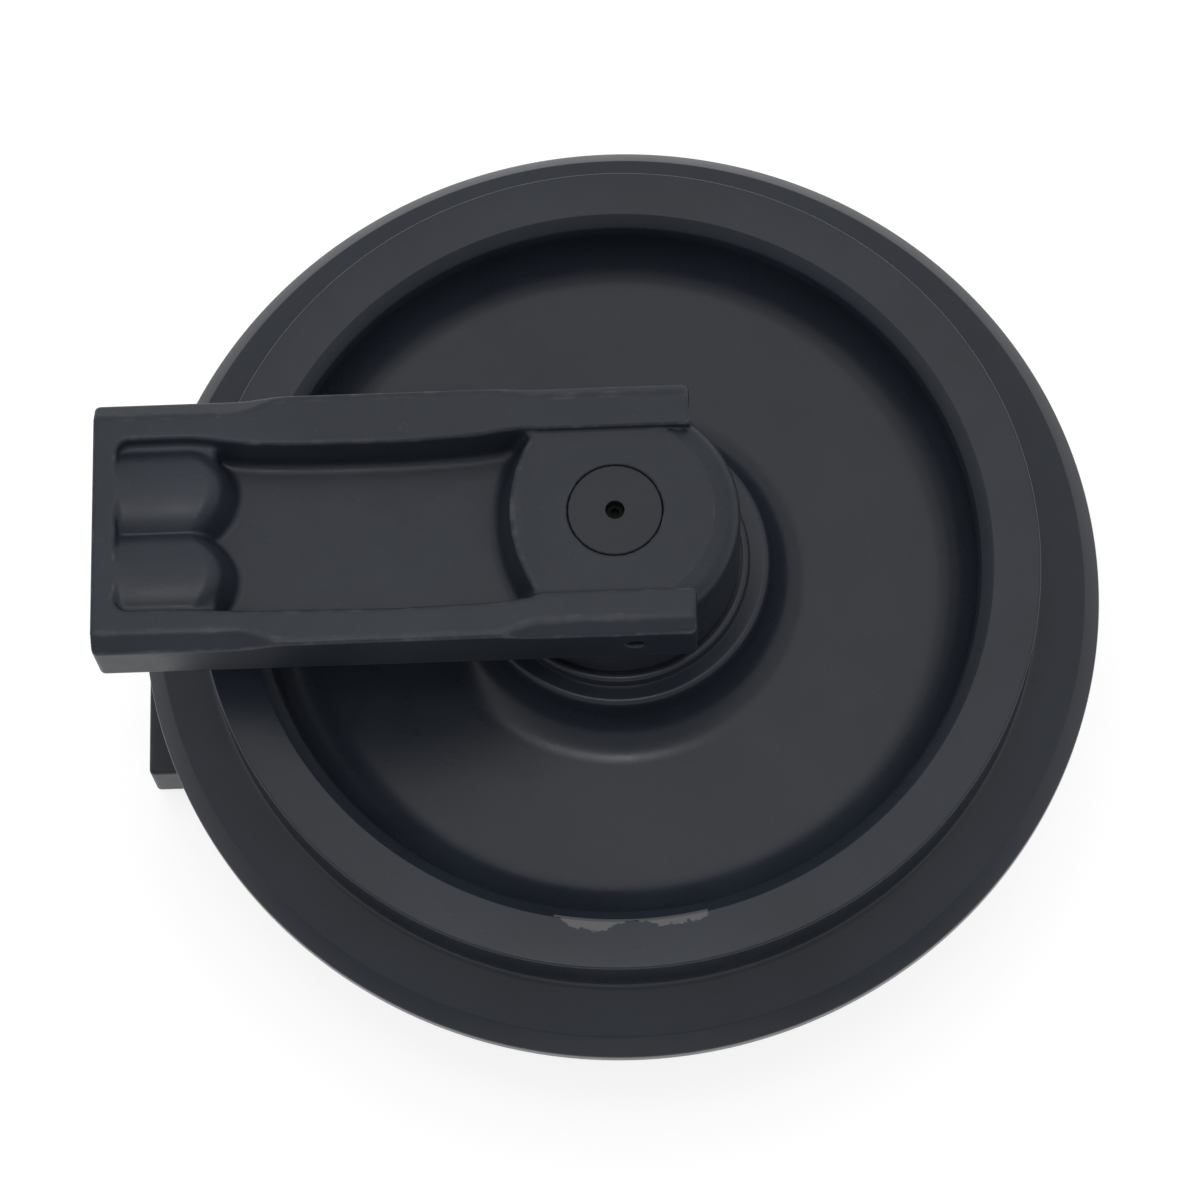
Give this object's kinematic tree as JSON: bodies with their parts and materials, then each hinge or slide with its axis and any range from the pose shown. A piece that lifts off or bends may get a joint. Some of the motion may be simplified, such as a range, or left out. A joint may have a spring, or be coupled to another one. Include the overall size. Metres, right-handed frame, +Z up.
{
  "type": "excavator front idler",
  "caption": "Crawler excavator front idler: a dished wheel with a centre flange on a shaft between two sliding channel brackets.",
  "frame": {"origin": "middle of the box round the idler, at the ground under its lower bracket", "axes": "+X along the bracket rails from the bolt face to the wheel's front, +Z up along the wheel's shaft, with the idler lying on its side"},
  "size_m": [0.54, 0.53, 0.2676],
  "materials": {
    "wheel_paint": "satin",
    "bracket_paint": "satin over a rough cast skin",
    "shaft_paint": "satin",
    "plug_steel": "blackened",
    "washer_copper": "plain copper",
    "pin_steel": "plain",
    "bushing_bronze": "bored",
    "seal_steel": "lapped",
    "toric_rubber": "matt",
    "o_ring_rubber": "matt"
  },
  "bodies": {
    "carrier": {"upper_bracket": "bracket_paint", "lower_bracket": "bracket_paint", "shaft": "shaft_paint", "upper_lock_pin": "pin_steel", "upper_shaft_o_ring": "o_ring_rubber", "upper_fixed_seal_ring": "seal_steel", "upper_fixed_toric": "toric_rubber", "lower_lock_pin": "pin_steel", "lower_shaft_o_ring": "o_ring_rubber", "lower_fixed_seal_ring": "seal_steel", "lower_fixed_toric": "toric_rubber", "oil_plug": "plug_steel", "plug_washer": "washer_copper"},
    "wheel": {"idler_wheel": "wheel_paint", "upper_bushing": "bushing_bronze", "upper_turning_seal_ring": "seal_steel", "upper_turning_toric": "toric_rubber", "lower_bushing": "bushing_bronze", "lower_turning_seal_ring": "seal_steel", "lower_turning_toric": "toric_rubber"}
  },
  "joints": [
    {"name": "wheel_spin", "type": "hinge", "parent": "carrier", "child": "wheel", "pos_m": [0.005, 0, 0.1338], "axis": [0, 0, 1], "continuous": true}
  ]
}
